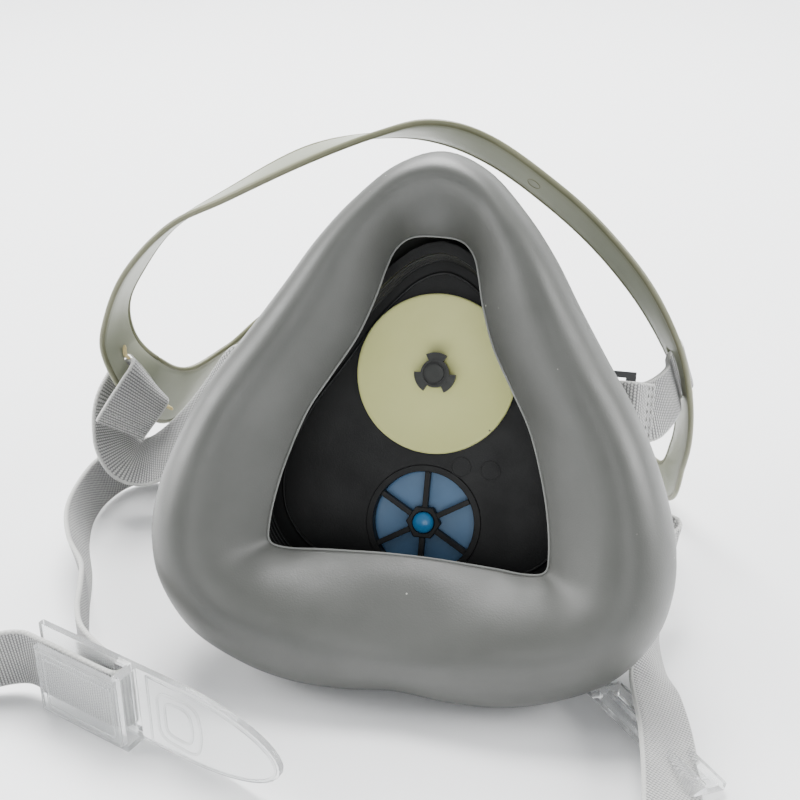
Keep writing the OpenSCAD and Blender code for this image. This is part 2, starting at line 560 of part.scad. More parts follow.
// ---- buckles ----
HOOK_AT = [-78, -24.6, 0.1];
HOOK_TURN = -21.3;      // the hook's length lies along its own x
CHANNEL = 3.2;          // space between the hook's two plates, for the webbing
PLATE_LEN = 27;
TONGUE_LEN = 66;
function tongue_edge() = [for (a = [90 : -7.5 : -90]) [
    TONGUE_LEN - 26 + 26 * cos(a), buckle_h / 2 + (buckle_h / 2) * sin(a)
]];
module upright(t, y) translate([0, y, 0]) rotate([90, 0, 0]) linear_extrude(t) children();
module buckle_hook() color([0.90, 0.92, 0.93, 0.6]) object_frame()
    translate(HOOK_AT) rotate([0, 0, HOOK_TURN]) {
        difference() {
            upright(buckle_t, 0)
                polygon(concat([[0, 0]], [[0, buckle_h]], tongue_edge()));
            translate([PLATE_LEN - 4.6, -buckle_t - 1, 1.6])
                cube([3.4, buckle_t + 2, buckle_h - 3.2]);
        }
        translate([3, -buckle_t - CHANNEL - buckle_t, 0])
            cube([PLATE_LEN - 1.2, buckle_t, buckle_h - 2]);
        translate([PLATE_LEN - 0.6, -buckle_t - CHANNEL - buckle_t, 0])
            cube([2.4, CHANNEL + buckle_t + 0.2, buckle_h]);
    }

EYE_AT = [57.6, -17.6, 1.9];
EYE_ALONG = [0.63, -0.77, 0];
EYE_NORMAL = [0.2, 0.16, 0.97];
EYE_LEN = 36;
EYE_DEPTH = 10;
EYE_T = 2;
FRONT_BAR = 3.4;
REAR_BAR = 2.6;
module buckle_eye() color([0.90, 0.92, 0.93, 0.6]) object_frame()
    facing(EYE_AT, EYE_ALONG, EYE_NORMAL) difference() {
        union() {
            translate([-EYE_LEN / 2, -EYE_DEPTH / 2, 0]) cube([EYE_LEN, EYE_DEPTH, EYE_T]);
            translate([-EYE_LEN / 2, -EYE_DEPTH / 2, 0]) cube([EYE_LEN, FRONT_BAR, EYE_T + 1]);
        }
        translate([3 - EYE_LEN / 2, FRONT_BAR - EYE_DEPTH / 2, -1])
            cube([EYE_LEN - 6, EYE_DEPTH - FRONT_BAR - REAR_BAR, EYE_T + 3]);
    }

face_seal();
front_housing();
inhale_post();
inhale_disc();
exhale_seat();
exhale_valve();
exhale_cover();
seat_gasket();
cartridge_shell();
inner_fleece();
carbon_bed();
outer_fleece();
cartridge_lid();
prefilter_pad();
prefilter_cap();
harness_frame();
head_cradle();
head_strap_left();
head_strap_right();
neck_strap_left();
neck_strap_right();
buckle_hook();
buckle_eye();
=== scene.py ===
"""Looks of the half-mask respirator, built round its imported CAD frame.

The CAD's own mask frame is used throughout: x across, y up along the seal plane and
z forward, away from the wearer, in millimetres. in_mask() and in_row() turn such a
place into the row frame, in metres.
"""

import math

import bmesh
import bpy
import numpy as np
from mathutils import Matrix, Vector


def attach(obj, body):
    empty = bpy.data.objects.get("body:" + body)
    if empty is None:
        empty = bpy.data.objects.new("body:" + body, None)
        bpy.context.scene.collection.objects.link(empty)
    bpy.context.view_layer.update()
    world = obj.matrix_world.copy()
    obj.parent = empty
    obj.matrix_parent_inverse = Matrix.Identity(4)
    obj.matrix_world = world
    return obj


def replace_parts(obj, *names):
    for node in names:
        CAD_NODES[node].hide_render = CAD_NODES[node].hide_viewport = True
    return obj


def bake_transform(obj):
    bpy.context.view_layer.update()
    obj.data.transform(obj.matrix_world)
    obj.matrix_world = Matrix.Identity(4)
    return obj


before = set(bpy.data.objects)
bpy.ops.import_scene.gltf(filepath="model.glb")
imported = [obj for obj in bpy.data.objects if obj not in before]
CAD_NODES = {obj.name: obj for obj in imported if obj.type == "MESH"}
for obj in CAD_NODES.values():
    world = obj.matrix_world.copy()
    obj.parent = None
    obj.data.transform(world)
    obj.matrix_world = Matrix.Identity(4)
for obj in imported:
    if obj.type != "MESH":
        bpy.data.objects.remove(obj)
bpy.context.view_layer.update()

MM = 0.001
LEAN = math.radians(28)
MASK_X, MASK_Y, SEAT_H = 16.4, -51.1, 62.8
UP_Z, UP_Y = math.cos(LEAN), math.sin(LEAN)


# ---- places ----
def in_mask(p):
    """A place in the mask's own frame, in the row frame."""
    x, y, z = (float(v) for v in p)
    return Vector((
        (MASK_X - x) * MM,
        (MASK_Y + UP_Y * y + UP_Z * z) * MM,
        (SEAT_H + UP_Z * y - UP_Y * z) * MM,
    ))


def in_row(p):
    """A place given from the foot of the mask's middle, in the row frame."""
    return Vector(((p[0] + MASK_X) * MM, (p[1] + MASK_Y) * MM, p[2] * MM))


def catmull(a, b, c, d, t):
    return 0.5 * (
        2 * b + (c - a) * t + (2 * a - 5 * b + 4 * c - d) * t * t
        + (3 * b - a - 3 * c + d) * t ** 3
    )


def smooth_loop(points, steps):
    """A smooth closed curve through the points, with that many steps from each to the next."""
    p = np.array(points, float)
    n = len(p)
    return np.array([
        catmull(p[i - 1], p[i], p[(i + 1) % n], p[(i + 2) % n], k / steps)
        for i in range(n) for k in range(steps)
    ])


def smooth_line(points, steps):
    """The same for an open curve."""
    p = np.array(points, float)
    last = len(p) - 1
    made = [
        catmull(p[max(i - 1, 0)], p[i], p[i + 1], p[min(i + 2, last)], k / steps)
        for i in range(last) for k in range(steps)
    ]
    return np.array(made + [p[last]])


# ---- camera ----
CAMERA_AT = (37.6, -225.0, 191.8)
scene = bpy.context.scene
camera_data = bpy.data.cameras.new("camera")
camera_data.lens = 55
camera_data.sensor_width = 36
camera_data.clip_start = 0.01
camera = bpy.data.objects.new("camera", camera_data)
scene.collection.objects.link(camera)
camera.matrix_world = Matrix.Translation(in_row(CAMERA_AT)) @ (
    Matrix.Rotation(math.radians(10), 4, "Z")
    @ Matrix.Rotation(math.radians(62), 4, "X")
    @ Matrix.Rotation(math.radians(0.6), 4, "Z")
)
scene.camera = camera


# ---- mesh helpers ----
def add_mesh(name, points, faces, material, smooth_angle=None):
    """A new object from points in the row frame, with outward faces and smooth shading."""
    mesh = bpy.data.meshes.new(name)
    mesh.from_pydata([tuple(p) for p in points], [], faces)
    work = bmesh.new()
    work.from_mesh(mesh)
    bmesh.ops.remove_doubles(work, verts=work.verts, dist=1e-7)
    bmesh.ops.recalc_face_normals(work, faces=work.faces)
    work.to_mesh(mesh)
    work.free()
    mesh.shade_smooth()
    if smooth_angle is not None:
        mesh.set_sharp_from_angle(angle=math.radians(smooth_angle))
    mesh.materials.append(material)
    made = bpy.data.objects.new(name, mesh)
    scene.collection.objects.link(made)
    return made


def ring_faces(rings, sides, closed, first=0):
    """Four-sided faces of a tube of rings, with the ends capped unless it is closed on itself."""
    faces = []
    for i in range(rings if closed else rings - 1):
        for j in range(sides):
            a, b = first + i * sides, first + ((i + 1) % rings) * sides
            k = (j + 1) % sides
            faces.append((a + j, a + k, b + k, b + j))
    if not closed:
        faces.append(tuple(first + j for j in reversed(range(sides))))
        faces.append(tuple(first + (rings - 1) * sides + j for j in range(sides)))
    return faces


def tube_parts(path, radius, closed=False, sides=8, first=0):
    """Points and faces of a round bead along a path in the row frame, tapered at open ends."""
    path = [Vector(p) for p in path]
    n = len(path)
    points = []
    side = None
    for i, p in enumerate(path):
        before = path[i - 1] if closed or i else path[0]
        after = path[(i + 1) % n] if closed or i < n - 1 else path[-1]
        along = (after - before).normalized()
        if side is None:
            side = along.orthogonal().normalized()
        side = (side - along * side.dot(along)).normalized()
        other = along.cross(side)
        end = not closed and i in (0, n - 1)
        r = radius * (0.45 if end else 1)
        for k in range(sides):
            a = 2 * math.pi * k / sides
            points.append(p + side * r * math.cos(a) + other * r * math.sin(a))
    return points, ring_faces(n, sides, closed, first)


def beads(name, paths, radius, material, closed=False, sides=8):
    """One object of round beads along several paths."""
    points, faces = [], []
    for path in paths:
        p, f = tube_parts(path, radius, closed, sides, len(points))
        points += p
        faces += f
    return add_mesh(name, points, faces, material)


def lathe(name, profile, centre_y, material, sides=144, shape=None, sharp=None):
    """A closed profile of (radius, depth) turned about the mask's z through centre_y."""
    points = []
    for i in range(sides):
        a = 2 * math.pi * i / sides
        for r, z in profile:
            dz = shape(r, a, z) if shape else 0
            points.append(in_mask((r * math.cos(a), centre_y + r * math.sin(a), z + dz)))
    return add_mesh(name, points, ring_faces(sides, len(profile), True), material, sharp)


def rounded(corners, radius, steps=3):
    """A closed outline in 2D with its corners rounded."""
    n = len(corners)
    made = []
    for i in range(n):
        a, b, c = (Vector(corners[k % n]) for k in (i - 1, i, i + 1))
        r = min(radius, (a - b).length * 0.45, (c - b).length * 0.45)
        p, q = b + (a - b).normalized() * r, b + (c - b).normalized() * r
        for k in range(steps + 1):
            t = k / steps
            made.append(tuple((p * (1 - t) + b * t) * (1 - t) + (b * (1 - t) + q * t) * t))
    return made


# ---- material helpers ----
def new_material(name, roughness=0.5, specular=0.5):
    material = bpy.data.materials.new(name)
    material.use_nodes = True
    shader = material.node_tree.nodes["Principled BSDF"]
    shader.inputs["Roughness"].default_value = roughness
    shader.inputs["Specular IOR Level"].default_value = specular
    return material, material.node_tree, shader


def add_node(tree, kind, **values):
    node = tree.nodes.new(kind)
    for key, value in values.items():
        if hasattr(node, key):
            setattr(node, key, value)
        else:
            node.inputs[key.replace("_", " ")].default_value = value
    return node


def place_texture(tree, coords):
    return add_node(tree, "ShaderNodeTexCoord").outputs[coords]


def noise(tree, scale, detail=4.0, roughness=0.55, coords="Object"):
    made = add_node(tree, "ShaderNodeTexNoise", Scale=scale, Detail=detail, Roughness=roughness)
    tree.links.new(place_texture(tree, coords), made.inputs["Vector"])
    return made.outputs["Fac"]


def ramp(tree, factor, stops):
    """A colour ramp: stops are (position, (r, g, b))."""
    made = add_node(tree, "ShaderNodeValToRGB")
    elements = made.color_ramp.elements
    while len(elements) < len(stops):
        elements.new(0.5)
    for element, (position, colour) in zip(elements, stops):
        element.position = position
        element.color = (*colour, 1)
    tree.links.new(factor, made.inputs["Fac"])
    return made.outputs["Color"]


def mixed(tree, factor, first, second):
    made = tree.nodes.new("ShaderNodeMix")
    made.data_type = "RGBA"
    for socket, value in ((made.inputs[0], factor), (made.inputs[6], first), (made.inputs[7], second)):
        if isinstance(value, tuple):
            socket.default_value = (*value, 1)
        else:
            tree.links.new(value, socket)
    return made.outputs[2]


def bump(tree, shader, height, strength, distance, after=None):
    made = add_node(tree, "ShaderNodeBump", Strength=strength, Distance=distance)
    tree.links.new(height, made.inputs["Height"])
    if after is not None:
        tree.links.new(after, made.inputs["Normal"])
    tree.links.new(made.outputs["Normal"], shader.inputs["Normal"])
    return made.outputs["Normal"]


def specks(tree, scale, size, coords="Object"):
    """White where a small speck lies and black elsewhere."""
    cells = add_node(tree, "ShaderNodeTexVoronoi", Scale=scale)
    tree.links.new(place_texture(tree, coords), cells.inputs["Vector"])
    few = ramp(tree, noise(tree, scale * 0.31, 1.0), [(0.60, (0, 0, 0)), (0.64, (1, 1, 1))])
    dots = ramp(tree, cells.outputs["Distance"], [(size, (1, 1, 1)), (size * 1.5, (0, 0, 0))])
    made = tree.nodes.new("ShaderNodeMix")
    made.data_type = "RGBA"
    made.blend_type = "MULTIPLY"
    made.inputs[0].default_value = 1
    tree.links.new(dots, made.inputs[6])
    tree.links.new(few, made.inputs[7])
    return made.outputs[2]


def grained(name, dark, light, scale, roughness, grain=0.0001, fine=2600.0, specular=0.5,
            speck=None, speck_scale=260.0, speck_size=0.07):
    """A moulded surface: its colour wanders from dark to light, over a fine grain."""
    material, tree, shader = new_material(name, roughness, specular)
    colour = ramp(tree, noise(tree, scale), [(0.32, dark), (0.68, light)])
    if speck is not None:
        colour = mixed(tree, specks(tree, speck_scale, speck_size), colour, speck)
    tree.links.new(colour, shader.inputs["Base Color"])
    wave = ramp(tree, noise(tree, scale * 2.3), [
        (0.3, (roughness - 0.05,) * 3), (0.7, (min(roughness + 0.07, 1),) * 3)])
    tree.links.new(wave, shader.inputs["Roughness"])
    bump(tree, shader, noise(tree, fine, 3.0), 0.35, grain)
    return material


def weave_material(name, dark, light, edge, pitch, columns):
    """Woven elastic: u runs along the webbing in metres and v across it from 0 to 1."""
    material, tree, shader = new_material(name, 0.86, 0.2)
    shader.inputs["Sheen Weight"].default_value = 0.25
    shader.inputs["Sheen Roughness"].default_value = 0.5
    split = add_node(tree, "ShaderNodeSeparateXYZ")
    tree.links.new(place_texture(tree, "UV"), split.inputs[0])

    def wave(source, turns, shift=0.0):
        scaled = add_node(tree, "ShaderNodeMath", operation="MULTIPLY_ADD")
        scaled.inputs[1].default_value = 2 * math.pi * turns
        scaled.inputs[2].default_value = shift
        tree.links.new(source, scaled.inputs[0])
        sine = add_node(tree, "ShaderNodeMath", operation="SINE")
        tree.links.new(scaled.outputs[0], sine.inputs[0])
        return sine.outputs[0]

    def joined(kind, a, b):
        made = add_node(tree, "ShaderNodeMath", operation=kind)
        tree.links.new(a, made.inputs[0])
        tree.links.new(b, made.inputs[1])
        return made.outputs[0]

    rows = wave(split.outputs["X"], 1 / pitch, -math.pi / 2)
    knots = joined("MULTIPLY", wave(split.outputs["X"], 0.5 / pitch), wave(split.outputs["Y"], columns))
    soft = add_node(tree, "ShaderNodeMath", operation="MULTIPLY")
    soft.inputs[1].default_value = 0.9
    tree.links.new(knots, soft.inputs[0])
    height = joined("ADD", joined("ADD", rows, soft.outputs[0]), noise(tree, 1400.0, 4.0))
    # Painted shade: the colour follows the rib height, dark in the grooves between ribs and light on the
    # rib tops.
    groove_shaded_yarn = ramp(tree, height, [(0.0, dark), (0.75, light), (1.0, edge)])
    tint = ramp(tree, noise(tree, 120.0, 3.0), [(0.3, (0.86, 0.86, 0.88)), (0.7, (1, 1, 1))])
    toned = tree.nodes.new("ShaderNodeMix")
    toned.data_type = "RGBA"
    toned.blend_type = "MULTIPLY"
    toned.inputs[0].default_value = 1
    tree.links.new(groove_shaded_yarn, toned.inputs[6])
    tree.links.new(tint, toned.inputs[7])
    selvedge = ramp(tree, split.outputs["Y"], [
        (0.0, (1, 1, 1)), (0.022, (1, 1, 1)), (0.045, (0, 0, 0)),
        (0.955, (0, 0, 0)), (0.978, (1, 1, 1)), (1.0, (1, 1, 1))])
    tree.links.new(mixed(tree, selvedge, toned.outputs[2], edge), shader.inputs["Base Color"])
    bump(tree, shader, height, 0.4, 0.0002)
    return material


def clear_material(name, tint, roughness):
    """Moulded clear plastic with faint flow lines."""
    material, tree, shader = new_material(name, roughness, 0.5)
    shader.inputs["Transmission Weight"].default_value = 0.88
    shader.inputs["IOR"].default_value = 1.22
    colour = ramp(tree, noise(tree, 90.0, 3.0), [(0.3, tuple(0.96 * c for c in tint)), (0.7, tint)])
    tree.links.new(colour, shader.inputs["Base Color"])
    bump(tree, shader, noise(tree, 240.0, 2.0), 0.12, 0.0003)
    return material


def fibre_material(name, dark, light):
    material, tree, shader = new_material(name, 0.95, 0.1)
    shader.inputs["Sheen Weight"].default_value = 0.3
    fibres = noise(tree, 1500.0, 8.0, 0.75)
    tree.links.new(ramp(tree, fibres, [(0.3, dark), (0.7, light)]), shader.inputs["Base Color"])
    bump(tree, shader, fibres, 0.8, 0.0005)
    return material


ELASTOMER = grained(
    "elastomer_grey", (0.058, 0.060, 0.054), (0.076, 0.078, 0.072), 38.0, 0.42, 0.00010,
    2400.0, 0.6, (0.40, 0.40, 0.36), 300.0, 0.05)
# Painted highlight: the seal's grey elastomer made much lighter, for the bright line along the lip's
# edge.
LIP_HIGHLIGHT = grained(
    "elastomer_lip_highlight", (0.15, 0.155, 0.145), (0.20, 0.205, 0.195), 60.0, 0.5)
HOUSING_BLACK = grained(
    "housing_black", (0.0050, 0.0055, 0.0055), (0.0085, 0.0090, 0.0088), 45.0, 0.55, 0.00012)
FRAME_BLACK = grained(
    "frame_black", (0.016, 0.017, 0.018), (0.028, 0.029, 0.030), 60.0, 0.42, 0.0001)
POST_GREY = grained(
    "post_grey", (0.022, 0.024, 0.021), (0.036, 0.038, 0.033), 120.0, 0.42, 0.00005)
DISC_FILM = grained(
    "valve_film", (0.86, 0.88, 0.33), (0.94, 0.95, 0.42), 34.0, 0.48, 0.00003, 1800.0, 0.4,
    (0.17, 0.16, 0.09), 210.0, 0.045)
# Painted shade: the membrane is the same blue silicone as the dome, given a duller, greyer blue for the
# shade on it.
MEMBRANE_SHADED_BLUE = grained(
    "membrane_shaded_blue", (0.12, 0.27, 0.49), (0.15, 0.32, 0.56), 70.0, 0.36, 0.00003)
DOME_BLUE = grained("dome_blue", (0.03, 0.27, 0.62), (0.05, 0.33, 0.70), 130.0, 0.22, 0.00002)
CRADLE_OLIVE = grained(
    "cradle_olive", (0.215, 0.228, 0.165), (0.270, 0.280, 0.210), 26.0, 0.36, 0.00008)
CRADLE_EDGE = grained(
    "cradle_edge", (0.120, 0.122, 0.068), (0.165, 0.165, 0.100), 40.0, 0.34, 0.00006)
FLASH_YELLOW = grained("flash_yellow", (0.50, 0.40, 0.17), (0.62, 0.52, 0.26), 300.0, 0.4)
GASKET_BLACK = grained("gasket_black", (0.010, 0.010, 0.010), (0.018, 0.018, 0.018), 90.0, 0.62)
COVER_GREY = grained("cover_grey", (0.060, 0.062, 0.064), (0.085, 0.087, 0.090), 70.0, 0.44, 0.0001)
CARTRIDGE_GREY = grained(
    "cartridge_grey", (0.110, 0.115, 0.118), (0.150, 0.156, 0.160), 42.0, 0.38, 0.00007)
CAP_BLACK = grained("cap_black", (0.018, 0.019, 0.021), (0.030, 0.032, 0.034), 52.0, 0.40, 0.00011)
CARBON = grained(
    "carbon_grains", (0.004, 0.004, 0.004), (0.020, 0.020, 0.020), 700.0, 0.8, 0.0005, 900.0)
FLEECE = fibre_material("filter_fleece", (0.62, 0.62, 0.58), (0.86, 0.86, 0.82))
PAD_FIBRE = fibre_material("pad_fibre", (0.70, 0.70, 0.67), (0.90, 0.90, 0.88))
CLEAR = clear_material("clear_plastic", (0.99, 1.0, 1.0), 0.14)
THREAD = fibre_material("sewing_thread", (0.36, 0.36, 0.34), (0.52, 0.52, 0.50))
RIB_PITCH = 0.7 * MM
# The webbing's dark colour is painted shade in the grooves between its ribs.
WEBBING = weave_material(
    "webbing_grey", (0.170, 0.170, 0.166), (0.450, 0.450, 0.440), (0.48, 0.48, 0.46), RIB_PITCH, 20)

# ---- webbing ----
STRAP_W, STRAP_T = 15.0, 1.3
BAR_X = 47.1                # middle of a lug's outer bar, across
HEAD_BAR = (41.39, 50.42)   # along Y and Z, for the two upper lugs
NECK_BAR = (27.06, 23.5)    # and for the two lower ones
UP = np.array((0, UP_Y, UP_Z))
FORE = np.array((0, UP_Z, -UP_Y))
BAR_LOOP = ((6.8, -1.2), (4.6, -1.5), (1.7, -2.5), (-1.5, -2.55), (-3, 0),
            (-1.5, 2.55), (1.7, 2.5), (4.8, 1.5))


def lug_loop(bar, side, turn):
    """The webbing's way round a lug's bar, from its sewn end."""
    c, s = math.cos(math.radians(turn)), math.sin(math.radians(turn))
    made = []
    for out, fore in BAR_LOOP:
        u, v = out * c - fore * s, out * s + fore * c
        at = np.array((side * (BAR_X + u), bar[0], bar[1])) + v * FORE
        made.append((*at, *UP))
    return made


HEAD_LEFT = lug_loop(HEAD_BAR, -1, 33) + [
    (-54.4, 48, 47.6, -0.12, 0.6, 0.8), (-61.6, 48.6, 37.6, -0.3, 0.75, 0.6),
    (-68.6, 49.6, 28.4, -0.32, 0.77, 0.55), (-75.4, 50.8, 20.8, -0.25, 0.75, 0.6),
    (-82.2, 51.6, 15.8, -0.05, 0.8, 0.6), (-88.6, 52.2, 15.4, 0.15, 0.93, 0.3),
    (-93.4, 54.6, 20.4, 0.25, 0.96, 0), (-94.2, 58.6, 28, 0.4, 0.83, -0.35),
    (-90.8, 63, 33.4, 0.52, 0.4, -0.75), (-84, 60, 37.2, 0.56, 0.1, -0.82),
    (-82.2, 56.4, 37.2, 0.56, 0.1, -0.82), (-83.6, 53.2, 34.4, 0.55, 0.2, -0.8),
    (-86.2, 51, 30.4, 0.53, 0.3, -0.79), (-89, 49.4, 26, 0.5, 0.4, -0.77)]
HEAD_RIGHT = lug_loop(HEAD_BAR, 1, 48) + [
    (52.8, 48.3, 47.9, -0.15, 0.38, 0.91), (56, 53.4, 48.3, -0.24, 0.1, 0.94),
    (58, 58.6, 49, -0.3, -0.16, 0.93), (57.95, 62.4, 49.85, -0.3, -0.28, 0.91),
    (58.4, 64.4, 50.7, -0.3, -0.3, 0.91), (59.8, 65.2, 51.4, -0.3, -0.3, 0.91),
    (61, 65.9, 52, -0.3, -0.3, 0.91), (60.9, 67.5, 52.5, -0.3, -0.3, 0.91),
    (59.9, 69.7, 52.9, -0.3, -0.3, 0.91), (59, 71.5, 53.2, -0.3, -0.3, 0.91)]
NECK_LEFT = lug_loop(NECK_BAR, -1, 38) + [
    (-59, 36.4, 19.6, 0, 0.3, 0.95), (-66, 47, 14, 0, 0.2, 0.98), (-75, 58.5, 9.6, 0, 0.1, 0.99),
    (-84.5, 65, 8.2, 0, 0, 1), (-92.6, 61, 8, 0, 0, 1), (-96.6, 51.5, 8, -0.05, 0, 1),
    (-96.8, 40, 8, -0.1, -0.1, 1), (-94, 27.5, 7.8, -0.2, -0.2, 0.95),
    (-88, 15, 7.8, -0.2, -0.2, 0.95), (-81.8, 3.5, 8, 0, 0, 1), (-77.6, -6.5, 9, 0, 0, 1),
    (-74.4, -15.4, 9.8, 0, 0, 1), (-70.4, -22.2, 10.1, 0, 0, 1), (-63.6, -28, 10.1, 0, 0, 1),
    (-58.2, -31, 10.1, 0, 0, 1), (-55.9, -32.5, 10.1, 0, 0, 1), (-55.5, -34.3, 10.1, 0, 0, 1),
    (-57.3, -35.7, 10.1, 0, 0, 1), (-61.5, -34.5, 10.1, 0, 0, 1), (-69.8, -31.2, 10.1, 0, 0, 1),
    (-77.3, -28.3, 10.1, 0, 0, 1), (-83, -26.6, 10, 0, 0, 1), (-89.6, -28.2, 9.2, 0, 0, 1),
    (-97, -33, 8.4, 0, 0, 1), (-104, -38.8, 8, 0, 0, 1)]
NECK_RIGHT = lug_loop(NECK_BAR, 1, 31) + [
    (55.9, 33.6, 19.5, 0, 0.47, 0.88), (59, 34.4, 18.1, 0, 0.47, 0.88),
    (61, 31.4, 17.9, 0, 0.45, 0.9), (59.6, 24.8, 17.5, 0, 0.36, 0.93),
    (57.4, 17, 15.3, -0.05, 0.28, 0.96), (56.3, 9.8, 11.7, -0.2, 0.2, 0.96),
    (56.4, 2.2, 8.4, -0.5, 0.1, 0.86), (57.7, -5, 6.4, -0.8, -0.03, 0.58),
    (59.2, -12, 5.4, -0.86, -0.05, 0.5), (60.4, -19, 4.8, -0.86, -0.05, 0.5),
    (61, -26, 4.6, -0.86, -0.05, 0.5), (61.4, -34, 4.6, -0.87, 0, 0.5),
    (61.8, -43, 4.5, -0.89, 0, 0.45), (62.5, -52, 4.4, -0.9, 0, 0.42),
    (63.6, -61, 4.4, -0.9, 0, 0.42)]


class Webbing:
    """A flat strap along a route of (place, direction of its width), at even steps."""

    def __init__(self, route, step):
        fine = smooth_line(route, 24)
        run = np.concatenate([[0], np.cumsum(np.linalg.norm(np.diff(fine[:, :3], axis=0), axis=1))])
        self.length = run[-1]
        count = int(self.length / step)
        self.run = np.linspace(0, self.length, count + 1)
        line = np.array([[np.interp(s, run, fine[:, k]) for k in range(6)] for s in self.run])
        self.centre = line[:, :3]
        along = np.gradient(self.centre, axis=0)
        self.along = along / np.linalg.norm(along, axis=1)[:, None]
        width = line[:, 3:]
        width = width - self.along * (width * self.along).sum(1)[:, None]
        self.width = width / np.linalg.norm(width, axis=1)[:, None]
        self.normal = np.cross(self.along, self.width)

    def place(self, run, across, lift):
        """A point at a run along the strap, across it and lifted off its middle, in the row frame."""
        i = int(round(run / self.length * (len(self.run) - 1)))
        i = min(max(i, 0), len(self.run) - 1)
        return in_row(self.centre[i] + self.width[i] * across + self.normal[i] * lift)

    def path(self, every=6):
        picked = list(range(0, len(self.run), every))
        if picked[-1] != len(self.run) - 1:
            picked.append(len(self.run) - 1)
        return [tuple(in_row(self.centre[i])) for i in picked]


RIB_STEP = RIB_PITCH / MM / 4
STRAP_SIDES = 11            # points across one face of the webbing


def strap_section(swell):
    """The webbing's section as (across, off its middle): thick selvedges and a ribbed middle."""
    half = STRAP_T / 2
    face = []
    for k in range(STRAP_SIDES):
        v = -1 + 2 * k / (STRAP_SIDES - 1)
        edge = max(0.0, (abs(v) - 0.9) / 0.1)
        face.append((v * (STRAP_W / 2 - 0.32), half * (swell * (1 - edge) + 0.92 * edge)))
    end = [(STRAP_W / 2, half * 0.5), (STRAP_W / 2 + 0.04, 0), (STRAP_W / 2, -half * 0.5)]
    lower = [(-v, -h) for v, h in face]
    return face + end + lower + [(-v, -h) for v, h in end]


def webbing_piece(name, route, material):
    strap = Webbing(route, RIB_STEP)
    points, sides = [], 0
    last = len(strap.run) - 1
    for i, s in enumerate(strap.run):
        swell = 0.93 + 0.09 * math.cos(2 * math.pi * i / 4)
        section = strap_section(swell)
        taper = 0.82 if i in (0, last) else 1
        sides = len(section)
        for v, h in section:
            points.append(in_row(strap.centre[i] + strap.width[i] * v * (0.5 + 0.5 * taper)
                                 + strap.normal[i] * h * taper))
    piece = add_mesh(name, points, ring_faces(len(strap.run), sides, False), material)
    mesh = piece.data
    layer = mesh.uv_layers.new(name="along_across")
    half = STRAP_W / 2
    section = strap_section(1)
    for loop in mesh.loops:
        i, j = divmod(loop.vertex_index, sides)
        layer.data[loop.index].uv = (strap.run[i] * MM, 0.5 + 0.5 * section[j][0] / half)
    return piece, strap


neck_left, neck_left_strap = webbing_piece("neck_webbing_left", NECK_LEFT, WEBBING)
neck_right, neck_right_strap = webbing_piece("neck_webbing_right", NECK_RIGHT, WEBBING)
head_left, head_left_strap = webbing_piece("head_webbing_left", HEAD_LEFT, WEBBING)
head_right, head_right_strap = webbing_piece("head_webbing_right", HEAD_RIGHT, WEBBING)
for piece, node in ((neck_left, "neck_strap_left"), (neck_right, "neck_strap_right"),
                    (head_left, "head_strap_left"), (head_right, "head_strap_right")):
    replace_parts(piece, node)
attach(neck_left, "mask")
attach(neck_right, "mask")
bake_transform(head_left)
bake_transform(head_right)
neck_left_strap.path()[0]
neck_left_strap.path()
neck_right_strap.path()[0]
neck_right_strap.path()


def stitches(name, strap, runs, body, lift, count=7):
    """Short threads across the webbing, in a row at each of the runs along it."""
    paths = []
    reach = STRAP_W / 2 - 1.8
    for run in runs:
        for k in range(count):
            a = -reach + 2 * reach * k / (count - 1)
            b = a + 1.15
            rise = lift + math.copysign(0.16, lift)
            paths.append([strap.place(run, a, lift * 0.82), strap.place(run, (a + b) / 2, rise),
                          strap.place(run, b, lift * 0.82)])
    piece = beads(name, paths, 0.17 * MM, THREAD, sides=6)
    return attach(piece, body)


SEAM_RUNS = (1.2, 3.6)              # two rows of stitches by a strap's sewn end
THREAD_LIFT = 0.7
for seam_name, seam_strap in (("stitches_neck_left", neck_left_strap),
                              ("stitches_neck_right", neck_right_strap),
                              ("stitches_head_left", head_left_strap),
                              ("stitches_head_right", head_right_strap)):
    stitches(seam_name, seam_strap, SEAM_RUNS, "mask", -THREAD_LIFT)
tail_runs = (head_left_strap.length - 1.6, head_left_strap.length - 3.8)
stitches("stitches_tail_front", head_left_strap, tail_runs, "cradle", THREAD_LIFT)
stitches("stitches_tail_back", head_left_strap, tail_runs, "cradle", -THREAD_LIFT)


# ---- face seal ----
SEAL_HALF = (
    (0, 63.7, 0, 44.2), (10.5, 59.8, 5.6, 43.5), (19.8, 50.8, 8.9, 40.4),
    (27.3, 41, 10.6, 35.5), (33.8, 30.3, 12.2, 29), (41, 19, 15.4, 20),
    (47.4, 9.3, 20.4, 11), (52.4, 0, 25.1, 2.5), (56.6, -10.5, 28.6, -7.5),
    (59, -20, 30.8, -16.5), (59.3, -30, 31.8, -24.5), (56.4, -40.4, 31.2, -28.4),
    (48.4, -50.6, 27, -29.4), (36.4, -57, 20, -29), (24.3, -60.1, 13, -28.7),
    (12.2, -60.5, 6.5, -28.4), (0, -59.5, 0, -28.3))
SEAL_STATIONS = list(SEAL_HALF) + [(-a, b, -c, d) for a, b, c, d in reversed(SEAL_HALF[1:-1])]
SEAL_T, LIP_T, LIP_DEPTH, FLANK_DEPTH = 2.0, 1.0, 11.0, 14.0
NOSE_SET, NOSE_Y, CHIN_SET, CHIN_Y, CHIN_REACH = 4.0, 62.0, 3.0, 20.0, 40.0
HOUSE_SCALE, REAR_GROW, SEAL_REAR = 0.7, 1.08, 36.0
FLAP = ((0, 1), (0.14, 0.64), (0.3, 0.31), (0.45, 0.09), (0.6, 0))
FLANK = ((0.74, 0.06), (0.87, 0.26), (0.965, 0.61), (1, 1))
BACK = ((0.08, 0.26), (0.3, 0.55), (0.66, 0.8), (0.94, 0.94), (1, 1))
SEAL_STEPS, PROFILE_STEPS = 7, 4


